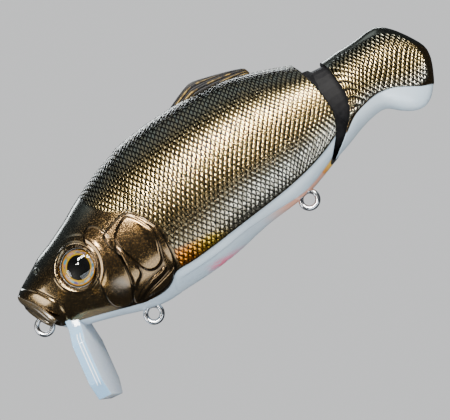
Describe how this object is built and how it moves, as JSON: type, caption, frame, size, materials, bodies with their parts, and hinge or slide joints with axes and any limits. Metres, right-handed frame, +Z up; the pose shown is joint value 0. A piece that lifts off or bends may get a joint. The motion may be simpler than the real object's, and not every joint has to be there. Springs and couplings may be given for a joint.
{
  "type": "jointed swimbait",
  "caption": "Deep-bodied hard fishing lure with a pinned boot tail, diving lip, domed eyes and wire eyes for line and hooks.",
  "frame": {"origin": "centre of the line tie's hole, on the fish's middle plane", "axes": "+X from nose to tail, +Z up through the back, the left flank faces -Y"},
  "size_m": [0.1186, 0.025, 0.056],
  "materials": {
    "fish_skin": "metallic foil under clear gloss, scale pattern",
    "clear_lip": "clear tinted",
    "wire_steel": "satin",
    "iris_foil": "printed foil",
    "eye_dome": "clear",
    "fin_smoke": "smoky with gold rays",
    "ballast": "plain",
    "black_neck": "matte"
  },
  "bodies": {
    "front_body": {"body_shell_left": "fish_skin", "body_shell_right": "fish_skin", "diving_lip": "clear_lip", "line_tie_wire": "wire_steel", "front_hanger_wire": "wire_steel", "rear_hanger_wire": "wire_steel", "left_eye_iris": "iris_foil", "left_eye_lens": "eye_dome", "right_eye_iris": "iris_foil", "right_eye_lens": "eye_dome", "dorsal_fin": "fin_smoke", "keel_weight_front": "ballast", "keel_weight_rear": "ballast", "hinge_eye_upper": "wire_steel", "hinge_eye_lower": "wire_steel"},
    "tail": {"tail_shell_left": "fish_skin", "tail_shell_right": "fish_skin", "tail_neck": "black_neck", "hinge_pin": "wire_steel", "hinge_pin_cap": "black_neck"}
  },
  "joints": [
    {"name": "tail_swing", "type": "hinge", "parent": "front_body", "child": "tail", "pos_m": [0.087, 0, 0.008], "axis": [0, 0, 1], "range_deg": [-34, 2]}
  ]
}
